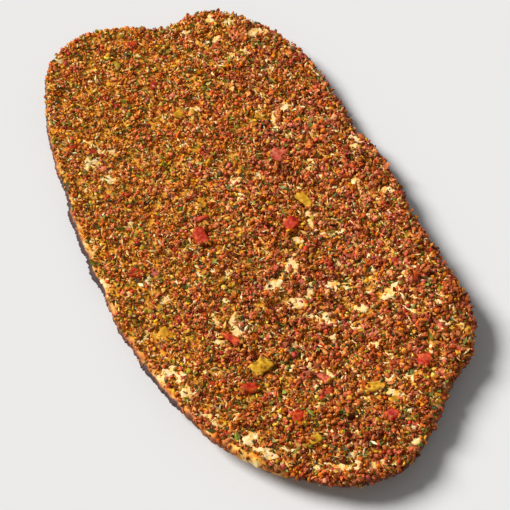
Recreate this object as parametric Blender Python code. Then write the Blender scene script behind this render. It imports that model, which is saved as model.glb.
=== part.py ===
"""A lahmacun: a thin oval flatbread, a spread of seasoned mince over it, and
the larger dice of tomato and pepper that lie in the mince.

Metres, +Z up.  +Y runs along the bread's long axis, +X across it.  The origin
is under the middle of the bread, on the surface it lies on.
"""

import math

import bmesh
import bpy
import numpy as np
from mathutils import Matrix, Vector, noise

MM = 0.001

# ---------------------------------------------------------------- sizes, in mm
HALF_WIDTH = 88.0        # of the plain oval, before its lobes and hollows
HALF_LENGTH = 158.0
SQUARENESS = 2.6         # exponent of the oval: 2 is an ellipse
SEGMENTS = 96            # round the outline

# lobes and hollows of the hand-stretched edge:
# (direction in degrees from +X, how far out, half-width in degrees)
EDGE_LOBES = (
    (52.0, 4.0, 12.0),     # far right shoulder
    (63.0, -2.1, 4.5),
    (82.5, -10.6, 5.5),    # notch between the two far lobes
    (106.0, 6.4, 8.0),     # far left lobe
    (136.0, -4.7, 12.0),   # flat far left side
    (202.0, 3.1, 15.0),    # left belly
    (228.0, 2.4, 9.0),
    (245.0, 1.6, 7.0),     # the raised fold on the near left side
    (267.5, 10.1, 7.0),    # near tip
    (287.0, -5.7, 7.0),    # hollow beside the tip
    (305.0, 5.9, 8.0),     # near right shoulder
    (320.0, -3.3, 6.0),
    (335.0, -4.8, 7.0),    # hollow on the right side
    (352.0, -1.1, 10.0),
    (20.0, -3.7, 6.0),
)

# how high the rim is lifted off the table: (direction, height, half-width)
RIM_LIFT = 4.5
LIFTS = (
    (312.0, 9.5, 26.0),    # near right corner, the highest
    (262.0, 6.0, 20.0),    # near end
    (232.0, 3.0, 12.0),    # the raised fold on the near left side
    (0.0, 3.5, 26.0),      # right side
    (103.0, 2.5, 12.0),    # far left lobe
    (52.0, 2.0, 16.0),     # far right lobe
    (80.0, -2.5, 7.0),     # valley at the far notch
    (190.0, 1.0, 12.0),    # left side
)
# how far the rim sags back down beyond its highest ring
RIM_SAG = (
    (338.0, 4.2, 34.0),
    (290.0, 3.6, 20.0),
    (20.0, 1.8, 20.0),
)
LIFT_FROM = 0.44         # share of the way out where the underside leaves the table
SAG_FROM = 0.74

DOUGH = 2.7              # thickness under the mince
DOUGH_WAVE = 0.45        # rise and fall of that thickness
DOUGH_WAVE_SIZE = 30.0
RIM_PLUMP = 1.3          # extra thickness of the bare rim
RIM_ROUND = 2.6          # how far in the rim's rounding starts
TIP = 0.45               # height of the rim's outermost line, as a share of its thickness

# bare rim outside the mince: (direction, more or less than usual, half-width)
BARE_RIM = 4.2
BARE = (
    (0.0, -2.4, 45.0),     # the mince reaches almost to the right edge
    (60.0, -1.2, 14.0),
    (30.0, 2.2, 7.0),      # pale strip on the far right side
    (95.0, -2.4, 16.0),
    (140.0, 0.9, 10.0),
    (176.0, 1.0, 10.0),
    (218.0, 3.2, 9.0),
    (240.0, 4.2, 8.0),     # widest, at the near left fold
    (262.0, 1.0, 8.0),
    (283.0, 2.8, 7.0),
    (300.0, 0.8, 6.0),
    (318.0, 1.2, 6.0),
)

MINCE = 2.2              # thickness of the spread of mince
MINCE_LUMP = 0.55
MINCE_LUMP_SIZE = 11.0
MINCE_EDGE = 0.9         # its thickness at its edge
MINCE_TAPER = 9.0        # over which it thins out
CLEAR = 0.3              # between pieces that touch

TOP_RINGS = (0.10, 0.24, 0.38, 0.51, 0.63, 0.74, 0.84, 0.93, 1.0)
UNDER_RINGS = (0.97, 0.90, 0.80, 0.69, 0.57, 0.44, 0.26, 0.10)

# larger dice lying in the mince:
# name, material, x, y, length, width, height, heading in degrees, sink
DICE = (
    ("tomato_1", "tomato", -23.4, 10.7, 11.0, 7.0, 3.0, 82.0, 1.0),
    ("tomato_2", "tomato", 24.6, -5.8, 9.0, 8.0, 3.0, 30.0, 1.0),
    ("tomato_3", "tomato", -44.2, -86.1, 9.5, 6.0, 3.0, -25.0, 1.0),
    ("tomato_4", "tomato", -37.6, -54.2, 10.5, 4.6, 2.8, 104.0, 0.9),
    ("tomato_5", "tomato", 11.9, -134.9, 8.0, 6.2, 2.8, 15.0, 0.9),
    ("tomato_6", "tomato", 42.9, -116.3, 8.5, 6.5, 2.8, 50.0, 0.9),
    ("tomato_7", "tomato", -30.4, -112.6, 8.5, 6.0, 2.8, 20.0, 0.9),
    ("red_pepper_1", "red_pepper", 39.6, 37.8, 9.5, 7.0, 2.8, -40.0, 1.0),
    ("red_pepper_2", "red_pepper", -6.6, -96.7, 9.5, 3.6, 2.6, 112.0, 0.9),
    ("green_pepper_1", "green_pepper", 38.3, 5.6, 14.0, 5.8, 2.6, 106.0, 1.0),
    ("green_pepper_2", "green_pepper", -32.8, -76.1, 11.0, 8.0, 2.8, 18.0, 1.0),
    ("green_pepper_3", "green_pepper", -29.8, -128.2, 9.5, 5.6, 2.6, 5.0, 0.9),
    ("green_pepper_4", "green_pepper", 12.7, -115.9, 10.0, 5.0, 2.4, -20.0, 0.8),
)

# ------------------------------------------------------------- helper functions


def swell(direction, table):
    """The sum of a table's rounded bumps in a direction given in degrees."""
    total = 0.0
    for centre, height, half_width in table:
        off = (direction - centre + 180.0) % 360.0 - 180.0
        total += height * math.exp(-0.5 * (off / half_width) ** 2)
    return total


def smooth(t):
    t = min(max(t, 0.0), 1.0)
    return t * t * (3.0 - 2.0 * t)


def lumps(x, y, size, seed):
    """Smooth noise between about -1 and 1, repeating nowhere on the bread."""
    return 1.6 * noise.noise(Vector((x / size, y / size, seed)))


def oval_reach(direction):
    """Distance from the middle to the outline, in mm."""
    a = math.radians(direction)
    oval = (
        abs(math.cos(a) / HALF_WIDTH) ** SQUARENESS
        + abs(math.sin(a) / HALF_LENGTH) ** SQUARENESS
    ) ** (-1.0 / SQUARENESS)
    ripple = 0.55 * math.sin(math.radians(17.0 * direction + 40.0)) + 0.45 * math.sin(
        math.radians(29.0 * direction + 130.0)
    )
    return oval + swell(direction, EDGE_LOBES) + ripple


def even_directions(count):
    """Directions whose points on the outline lie evenly spaced along it."""
    fine = np.linspace(0.0, 360.0, 1441)
    reach = np.array([oval_reach(d) for d in fine])
    x = reach * np.cos(np.radians(fine))
    y = reach * np.sin(np.radians(fine))
    run = np.concatenate([[0.0], np.cumsum(np.hypot(np.diff(x), np.diff(y)))])
    wanted = np.linspace(0.0, run[-1], count, endpoint=False)
    return np.interp(wanted, run, fine)


def middle_of(directions):
    """Middle of the outline's box, which becomes the origin."""
    reach = np.array([oval_reach(d) for d in directions])
    x = reach * np.cos(np.radians(directions))
    y = reach * np.sin(np.radians(directions))
    return (x.min() + x.max()) / 2.0, (y.min() + y.max()) / 2.0


DIRECTIONS = even_directions(SEGMENTS)
MIDDLE = middle_of(DIRECTIONS)


def bare_rim(direction):
    return max(BARE_RIM + swell(direction, BARE), 1.7)


def underside(direction, share):
    """Height of the bread's underside at a share of the way to the outline."""
    lift = RIM_LIFT + swell(direction, LIFTS)
    rise = smooth((share - LIFT_FROM) / (0.98 - LIFT_FROM))
    sag = max((share - SAG_FROM) / (1.0 - SAG_FROM), 0.0) ** 2
    x = share * oval_reach(direction) * math.cos(math.radians(direction))
    y = share * oval_reach(direction) * math.sin(math.radians(direction))
    wave = 1.1 * lumps(x, y, 42.0, 3.1) * rise
    return max(lift * rise - swell(direction, RIM_SAG) * sag + wave, 0.0)


def polar(x, y):
    direction = math.degrees(math.atan2(y, x)) % 360.0
    return direction, math.hypot(x, y) / oval_reach(direction)


def dough_thickness(direction, share):
    reach = oval_reach(direction)
    x = share * reach * math.cos(math.radians(direction))
    y = share * reach * math.sin(math.radians(direction))
    from_edge = (1.0 - share) * reach
    plump = RIM_PLUMP * math.exp(-0.5 * ((from_edge - 3.0) / 3.2) ** 2)
    return DOUGH + DOUGH_WAVE * lumps(x, y, DOUGH_WAVE_SIZE, 0.4) + plump


def dough_top(direction, share):
    """Height of the dough's upper surface, rounded down towards its edge."""
    thick = dough_thickness(direction, share)
    from_edge = (1.0 - share) * oval_reach(direction)
    if from_edge < RIM_ROUND:
        t = 1.0 - from_edge / RIM_ROUND
        round_off = math.sqrt(max(1.0 - t * t, 0.0))
        thick *= TIP + (1.0 - TIP) * round_off
    return underside(direction, share) + thick


def dough_bottom(direction, share):
    from_edge = (1.0 - share) * oval_reach(direction)
    up = 0.0
    if from_edge < RIM_ROUND:
        t = 1.0 - from_edge / RIM_ROUND
        thick = dough_thickness(direction, 1.0)
        up = TIP * thick * (1.0 - math.sqrt(max(1.0 - t * t, 0.0)))
    return underside(direction, share) + up


def mince_top(direction, share):
    reach = oval_reach(direction)
    x = share * reach * math.cos(math.radians(direction))
    y = share * reach * math.sin(math.radians(direction))
    inside = (1.0 - share) * reach - bare_rim(direction)
    full = smooth(inside / MINCE_TAPER)
    thick = MINCE + MINCE_LUMP * lumps(x, y, MINCE_LUMP_SIZE, 7.7)
    thick = MINCE_EDGE + (thick - MINCE_EDGE) * full
    return dough_top(direction, share) + CLEAR + thick


def ring(bm, shares, height):
    """A ring of vertices: one share of the way out and one height each."""
    made = []
    for direction, share in zip(DIRECTIONS, shares):
        reach = share * oval_reach(direction)
        a = math.radians(direction)
        made.append(
            bm.verts.new(
                (
                    (reach * math.cos(a) - MIDDLE[0]) * MM,
                    (reach * math.sin(a) - MIDDLE[1]) * MM,
                    height(direction, share) * MM,
                )
            )
        )
    return made


def skin(bm, inner, outer):
    """A band of faces from one ring out to the next."""
    for i in range(len(inner)):
        j = (i + 1) % len(inner)
        bm.faces.new((inner[i], outer[i], outer[j], inner[j]))


def hub(bm, first, height, flip):
    """The fan that closes the middle of a surface."""
    at = bm.verts.new((-MIDDLE[0] * MM, -MIDDLE[1] * MM, height * MM))
    for i in range(len(first)):
        j = (i + 1) % len(first)
        pair = (first[j], first[i]) if flip else (first[i], first[j])
        bm.faces.new((at, *pair))


def material(name, colour, roughness):
    made = bpy.data.materials.new(name)
    made.use_nodes = True
    shader = made.node_tree.nodes["Principled BSDF"]
    shader.inputs["Base Color"].default_value = (*colour, 1.0)
    shader.inputs["Roughness"].default_value = roughness
    shader.inputs["Metallic"].default_value = 0.0
    made.diffuse_color = (*colour, 1.0)
    return made


def add_object(name, bm, mat, parent=None):
    bmesh.ops.triangulate(bm, faces=bm.faces[:])
    bmesh.ops.recalc_face_normals(bm, faces=bm.faces[:])
    mesh = bpy.data.meshes.new(name)
    bm.to_mesh(mesh)
    bm.free()
    mesh.shade_smooth()
    mesh.set_sharp_from_angle(angle=math.radians(40.0))
    mesh.materials.append(mat)
    made = bpy.data.objects.new(name, mesh)
    bpy.context.scene.collection.objects.link(made)
    made.parent = parent
    return made


# ----------------------------------------------------------------- the pieces


def build_dough(mat, parent):
    bm = bmesh.new()
    edge = [1.0 - bare_rim(d) / oval_reach(d) for d in DIRECTIONS]
    rings = [ring(bm, [s * e for e in edge], dough_top) for s in TOP_RINGS]
    # the bare rim: across it, then over its rounding to the outermost line
    for part in (0.45, 0.8):
        shares = [e + (1.0 - e) * part for e in edge]
        rings.append(ring(bm, shares, dough_top))
    rings.append(ring(bm, [1.0 - 0.55 / oval_reach(d) for d in DIRECTIONS], dough_top))
    rings.append(ring(bm, [1.0] * SEGMENTS, dough_top))
    rings.append(ring(bm, [1.0 - 0.8 / oval_reach(d) for d in DIRECTIONS], dough_bottom))
    for share in UNDER_RINGS:
        rings.append(ring(bm, [share] * SEGMENTS, dough_bottom))
    for inner, outer in zip(rings, rings[1:]):
        skin(bm, inner, outer)
    hub(bm, rings[0], dough_top(0.0, 0.0), flip=False)
    hub(bm, rings[-1], 0.0, flip=True)
    return add_object("dough", bm, mat, parent)


def build_mince(mat, parent):
    bm = bmesh.new()
    edge = [1.0 - bare_rim(d) / oval_reach(d) for d in DIRECTIONS]
    top = [ring(bm, [s * e for e in edge], mince_top) for s in TOP_RINGS]
    under = [
        ring(bm, [s * e for e in edge], lambda d, s: dough_top(d, s) + CLEAR)
        for s in reversed(TOP_RINGS)
    ]
    rings = top + under
    for inner, outer in zip(rings, rings[1:]):
        skin(bm, inner, outer)
    hub(bm, rings[0], mince_top(0.0, 0.0), flip=False)
    hub(bm, rings[-1], dough_top(0.0, 0.0) + CLEAR, flip=True)
    return add_object("meat_topping", bm, mat, parent)


def mince_height(x, y):
    return mince_top(*polar(x + MIDDLE[0], y + MIDDLE[1]))


def die_shape(number, length, width, height, grow):
    """A rough-cut dice: a box with its corners pulled about and cut off."""
    bm = bmesh.new()
    bmesh.ops.create_cube(bm, size=1.0)
    for i, vertex in enumerate(bm.verts):
        shift = Vector(
            (
                noise.noise(Vector((number * 3.1, i * 1.7, 0.2))),
                noise.noise(Vector((number * 3.1, i * 1.7, 5.2))),
                0.4 * noise.noise(Vector((number * 3.1, i * 1.7, 9.2))),
            )
        )
        vertex.co += 0.30 * shift
        vertex.co = Vector(
            (
                vertex.co.x * (length + 2.0 * grow),
                vertex.co.y * (width + 2.0 * grow),
                vertex.co.z * (height + 2.0 * grow),
            )
        )
    bmesh.ops.bevel(
        bm,
        geom=bm.edges[:],
        offset=0.27 * (height + 2.0 * grow),
        segments=1,
        affect="EDGES",
    )
    bmesh.ops.scale(bm, vec=(MM, MM, MM), verts=bm.verts[:])
    return bm


def build_dice(materials, parent, mince):
    pockets = bpy.data.collections.new("pockets")
    bpy.context.scene.collection.children.link(pockets)
    for number, row in enumerate(DICE, start=1):
        name, mat, x, y, length, width, height, heading, sink = row
        step = 3.0
        slope_x = (mince_height(x + step, y) - mince_height(x - step, y)) / (2 * step)
        slope_y = (mince_height(x, y + step) - mince_height(x, y - step)) / (2 * step)
        up = Vector((-slope_x, -slope_y, 1.0)).normalized()
        tilt = Vector((0.0, 0.0, 1.0)).rotation_difference(up).to_matrix().to_4x4()
        turn = Matrix.Rotation(math.radians(heading), 4, "Z")
        z = mince_height(x, y) - sink + height / 2.0
        place = Matrix.Translation(Vector((x, y, z)) * MM) @ tilt @ turn
        die = add_object(
            name, die_shape(number, length, width, height, 0.0), materials[mat], parent
        )
        die.matrix_local = place
        cutter = add_object(
            name + "_pocket",
            die_shape(number, length, width, height, CLEAR),
            materials[mat],
        )
        cutter.matrix_local = place
        cutter.hide_render = True
        cutter.display_type = "WIRE"
        bpy.context.scene.collection.objects.unlink(cutter)
        pockets.objects.link(cutter)
    cut = mince.modifiers.new("pockets", "BOOLEAN")
    cut.operation = "DIFFERENCE"
    cut.operand_type = "COLLECTION"
    cut.collection = pockets
    cut.solver = "EXACT"


def main():
    for old in list(bpy.data.objects):
        bpy.data.objects.remove(old, do_unlink=True)
    scene_unit = bpy.context.scene.unit_settings
    scene_unit.system = "METRIC"
    scene_unit.scale_length = 1.0

    base = bpy.data.objects.new("lahmacun", None)
    bpy.context.scene.collection.objects.link(base)
    crust = material("baked_dough", (0.78, 0.52, 0.26), 0.75)
    mince_mat = material("spiced_mince", (0.36, 0.13, 0.045), 0.6)
    dice_mats = {
        "tomato": material("tomato", (0.48, 0.035, 0.012), 0.3),
        "red_pepper": material("red_pepper", (0.50, 0.07, 0.05), 0.3),
        "green_pepper": material("green_pepper", (0.36, 0.22, 0.02), 0.3),
    }
    build_dough(crust, base)
    mince = build_mince(mince_mat, base)
    build_dice(dice_mats, base, mince)


main()
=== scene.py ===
"""Looks of the lahmacun: baked bread, oily mince, crumbs, herbs and diced vegetables.

Lengths in the tables below are in millimetres unless they say otherwise.
"""

import math

import bmesh
import bpy
import numpy as np
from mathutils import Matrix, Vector, noise


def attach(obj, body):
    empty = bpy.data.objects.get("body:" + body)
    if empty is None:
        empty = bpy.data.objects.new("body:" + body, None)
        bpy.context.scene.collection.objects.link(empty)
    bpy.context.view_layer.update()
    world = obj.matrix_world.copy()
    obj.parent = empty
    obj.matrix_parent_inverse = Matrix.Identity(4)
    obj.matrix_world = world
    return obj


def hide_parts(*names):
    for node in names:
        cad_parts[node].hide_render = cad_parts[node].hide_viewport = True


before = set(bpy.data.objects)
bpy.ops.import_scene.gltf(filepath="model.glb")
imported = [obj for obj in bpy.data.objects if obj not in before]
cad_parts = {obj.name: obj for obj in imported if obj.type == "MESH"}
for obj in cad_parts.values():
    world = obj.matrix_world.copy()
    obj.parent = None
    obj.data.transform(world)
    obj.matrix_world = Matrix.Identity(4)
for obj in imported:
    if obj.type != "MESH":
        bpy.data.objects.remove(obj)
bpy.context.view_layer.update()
MM = 0.001
rng = np.random.default_rng(20417)

# ------------------------------------------------ the bread's form, as in the CAD
HALF_WIDTH, HALF_LENGTH, SQUARENESS = 88.0, 158.0, 2.6
EDGE_LOBES = (
    (52.0, 4.0, 12.0), (63.0, -2.1, 4.5), (82.5, -10.6, 5.5), (106.0, 6.4, 8.0),
    (136.0, -4.7, 12.0), (202.0, 3.1, 15.0), (228.0, 2.4, 9.0), (245.0, 1.6, 7.0),
    (267.5, 10.1, 7.0), (287.0, -5.7, 7.0), (305.0, 5.9, 8.0), (320.0, -3.3, 6.0),
    (335.0, -4.8, 7.0), (352.0, -1.1, 10.0), (20.0, -3.7, 6.0),
)
RIM_LIFT = 4.5
LIFTS = (
    (312.0, 9.5, 26.0), (262.0, 6.0, 20.0), (232.0, 3.0, 12.0), (0.0, 3.5, 26.0),
    (103.0, 2.5, 12.0), (52.0, 2.0, 16.0), (80.0, -2.5, 7.0), (190.0, 1.0, 12.0),
)
RIM_SAG = ((338.0, 4.2, 34.0), (290.0, 3.6, 20.0), (20.0, 1.8, 20.0))
LIFT_FROM, SAG_FROM = 0.44, 0.74
DOUGH, DOUGH_WAVE, DOUGH_WAVE_SIZE = 2.7, 0.45, 30.0
RIM_PLUMP, RIM_ROUND, TIP = 1.3, 2.6, 0.45
BARE_RIM = 4.2
BARE = (
    (0.0, -2.4, 45.0), (60.0, -1.2, 14.0), (30.0, 2.2, 7.0), (95.0, -2.4, 16.0),
    (140.0, 0.9, 10.0), (176.0, 1.0, 10.0), (218.0, 3.2, 9.0), (240.0, 4.2, 8.0),
    (262.0, 1.0, 8.0), (283.0, 2.8, 7.0), (300.0, 0.8, 6.0), (318.0, 1.2, 6.0),
)


def swell(direction, table):
    total = np.zeros(np.shape(direction))
    for centre, height, half_width in table:
        off = (direction - centre + 180.0) % 360.0 - 180.0
        total = total + height * np.exp(-0.5 * (off / half_width) ** 2)
    return total


def smooth(t):
    t = np.clip(t, 0.0, 1.0)
    return t * t * (3.0 - 2.0 * t)


def _oval(direction):
    a = np.radians(direction)
    oval = (
        np.abs(np.cos(a) / HALF_WIDTH) ** SQUARENESS
        + np.abs(np.sin(a) / HALF_LENGTH) ** SQUARENESS
    ) ** (-1.0 / SQUARENESS)
    ripple = 0.55 * np.sin(np.radians(17.0 * direction + 40.0)) + 0.45 * np.sin(
        np.radians(29.0 * direction + 130.0)
    )
    return oval + swell(direction, EDGE_LOBES) + ripple


FINE = np.linspace(0.0, 360.0, 7201)
REACH = _oval(FINE)


def reach_at(direction):
    return np.interp(np.mod(direction, 360.0), FINE, REACH)


def even_directions(count, fine=FINE, reach=REACH):
    x = reach * np.cos(np.radians(fine))
    y = reach * np.sin(np.radians(fine))
    run = np.concatenate([[0.0], np.cumsum(np.hypot(np.diff(x), np.diff(y)))])
    return np.interp(np.linspace(0.0, run[-1], count, endpoint=False), run, fine)


def middle_of():
    d = even_directions(96, np.linspace(0.0, 360.0, 1441), _oval(np.linspace(0.0, 360.0, 1441)))
    r = _oval(d)
    x, y = r * np.cos(np.radians(d)), r * np.sin(np.radians(d))
    return (x.min() + x.max()) / 2.0, (y.min() + y.max()) / 2.0


MIDDLE = middle_of()
EDGE_LENGTH = float(
    np.hypot(np.diff(REACH * np.cos(np.radians(FINE))), np.diff(REACH * np.sin(np.radians(FINE)))).sum()
)


class Field:
    """A noise field held on a grid over the bread, read in between its points."""

    def __init__(self, size, seed, step=2.0, width=110.0, length=185.0):
        self.step, self.x0, self.y0 = step, -width, -length
        nx, ny = int(2 * width / step) + 2, int(2 * length / step) + 2
        self.grid = np.array(
            [
                [
                    1.6 * noise.noise(Vector(((self.x0 + i * step) / size, (self.y0 + j * step) / size, seed)))
                    for i in range(nx)
                ]
                for j in range(ny)
            ]
        )

    def __call__(self, x, y):
        u = np.clip((x - self.x0) / self.step, 0.0, self.grid.shape[1] - 1.001)
        v = np.clip((y - self.y0) / self.step, 0.0, self.grid.shape[0] - 1.001)
        i, j = u.astype(int), v.astype(int)
        fu, fv = u - i, v - j
        g = self.grid
        return (
            g[j, i] * (1 - fu) * (1 - fv)
            + g[j, i + 1] * fu * (1 - fv)
            + g[j + 1, i] * (1 - fu) * fv
            + g[j + 1, i + 1] * fu * fv
        )


THICK_WAVE = Field(DOUGH_WAVE_SIZE, 0.4, 3.0)
SHEET_WAVE = Field(42.0, 3.1, 4.0)

_TABLES = {}


def grain(x, y, size, seed):
    """Gradient noise, about -1 to 1, with features of the given size in mm."""
    if seed not in _TABLES:
        turn = np.random.default_rng(9000 + seed).uniform(0.0, 2.0 * np.pi, (256, 256))
        _TABLES[seed] = (np.cos(turn), np.sin(turn))
    gx, gy = _TABLES[seed]
    u, v = np.asarray(x) / size + 57.3, np.asarray(y) / size + 91.7
    i, j = np.floor(u).astype(int), np.floor(v).astype(int)
    fu, fv = u - i, v - j

    def corner(di, dj):
        a, b = (j + dj) % 256, (i + di) % 256
        return gx[a, b] * (fu - di) + gy[a, b] * (fv - dj)

    su = fu * fu * fu * (fu * (fu * 6 - 15) + 10)
    sv = fv * fv * fv * (fv * (fv * 6 - 15) + 10)
    low = corner(0, 0) * (1 - su) + corner(1, 0) * su
    high = corner(0, 1) * (1 - su) + corner(1, 1) * su
    return 1.5 * (low * (1 - sv) + high * sv)


def fractal(x, y, size, seed, octaves=3, keep=0.5):
    total, height, norm = 0.0, 1.0, 0.0
    for k in range(octaves):
        total = total + height * grain(x, y, size / 2.0**k, seed + k)
        norm += height
        height *= keep
    return total / norm


def polar(x, y):
    """Direction and share of the way out, for a place measured from the origin."""
    px, py = x + MIDDLE[0], y + MIDDLE[1]
    direction = np.degrees(np.arctan2(py, px)) % 360.0
    return direction, np.hypot(px, py) / reach_at(direction)


def place(direction, share, extra=0.0):
    r = share * reach_at(direction) + extra
    a = np.radians(direction)
    return r * np.cos(a) - MIDDLE[0], r * np.sin(a) - MIDDLE[1]


def bare_rim(direction):
    return np.maximum(BARE_RIM + swell(direction, BARE), 1.7)


def underside(direction, share, x, y):
    lift = RIM_LIFT + swell(direction, LIFTS)
    rise = smooth((share - LIFT_FROM) / (0.98 - LIFT_FROM))
    sag = np.maximum((share - SAG_FROM) / (1.0 - SAG_FROM), 0.0) ** 2
    wave = 1.1 * SHEET_WAVE(x + MIDDLE[0], y + MIDDLE[1]) * rise
    return np.maximum(lift * rise - swell(direction, RIM_SAG) * sag + wave, 0.0)


def dough_thickness(direction, share, x, y):
    from_edge = (1.0 - share) * reach_at(direction)
    plump = RIM_PLUMP * np.exp(-0.5 * ((from_edge - 3.0) / 3.2) ** 2)
    return DOUGH + DOUGH_WAVE * THICK_WAVE(x + MIDDLE[0], y + MIDDLE[1]) + plump


def rounding(from_edge):
    t = np.clip(1.0 - from_edge / RIM_ROUND, 0.0, 1.0)
    return np.sqrt(np.maximum(1.0 - t * t, 0.0))


# ----------------------------------------------------------- fine form of the dough
BLISTERS = [
    # x, y, radius, height on the bare rim and in the bigger gaps
    (-60.0, -124.0, 5.5, 0.9), (-52.0, -131.5, 4.0, 0.7), (-66.0, -116.5, 3.4, 0.6),
    (-77.0, -74.0, 4.2, 0.8), (-80.0, -61.0, 3.6, 0.7), (-83.0, 5.0, 3.0, 0.6),
    (85.0, 74.0, 3.0, 0.6), (84.0, 63.0, 2.6, 0.5), (71.0, -120.0, 3.4, 0.7),
    (17.0, -157.0, 4.2, 0.8), (-30.0, -151.0, 4.2, 0.7), (36.0, -146.0, 3.2, 0.6),
]


def dough_detail(x, y, from_edge):
    """What baking adds to the plain form of the upper face: blisters, small folds, grain."""
    rim = np.exp(-((from_edge / 9.0) ** 2))
    up = 0.10 * fractal(x, y, 5.0, 11, 3) + 0.05 * grain(x, y, 1.3, 17)
    up = up + rim * 0.42 * np.maximum(fractal(x, y, 6.5, 21, 2) + 0.15, 0.0) * 1.6
    for bx, by, radius, height in BLISTERS:
        q = ((x - bx) ** 2 + (y - by) ** 2) / radius**2
        up = up + height * np.exp(-q * 1.6)
    return up * np.clip(from_edge / 1.2, 0.0, 1.0)


def dough_top(x, y):
    direction, share = polar(x, y)
    from_edge = (1.0 - share) * reach_at(direction)
    thick = dough_thickness(direction, share, x, y)
    thick = thick * (TIP + (1.0 - TIP) * rounding(from_edge))
    return underside(direction, share, x, y) + thick + dough_detail(x, y, from_edge)


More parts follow.
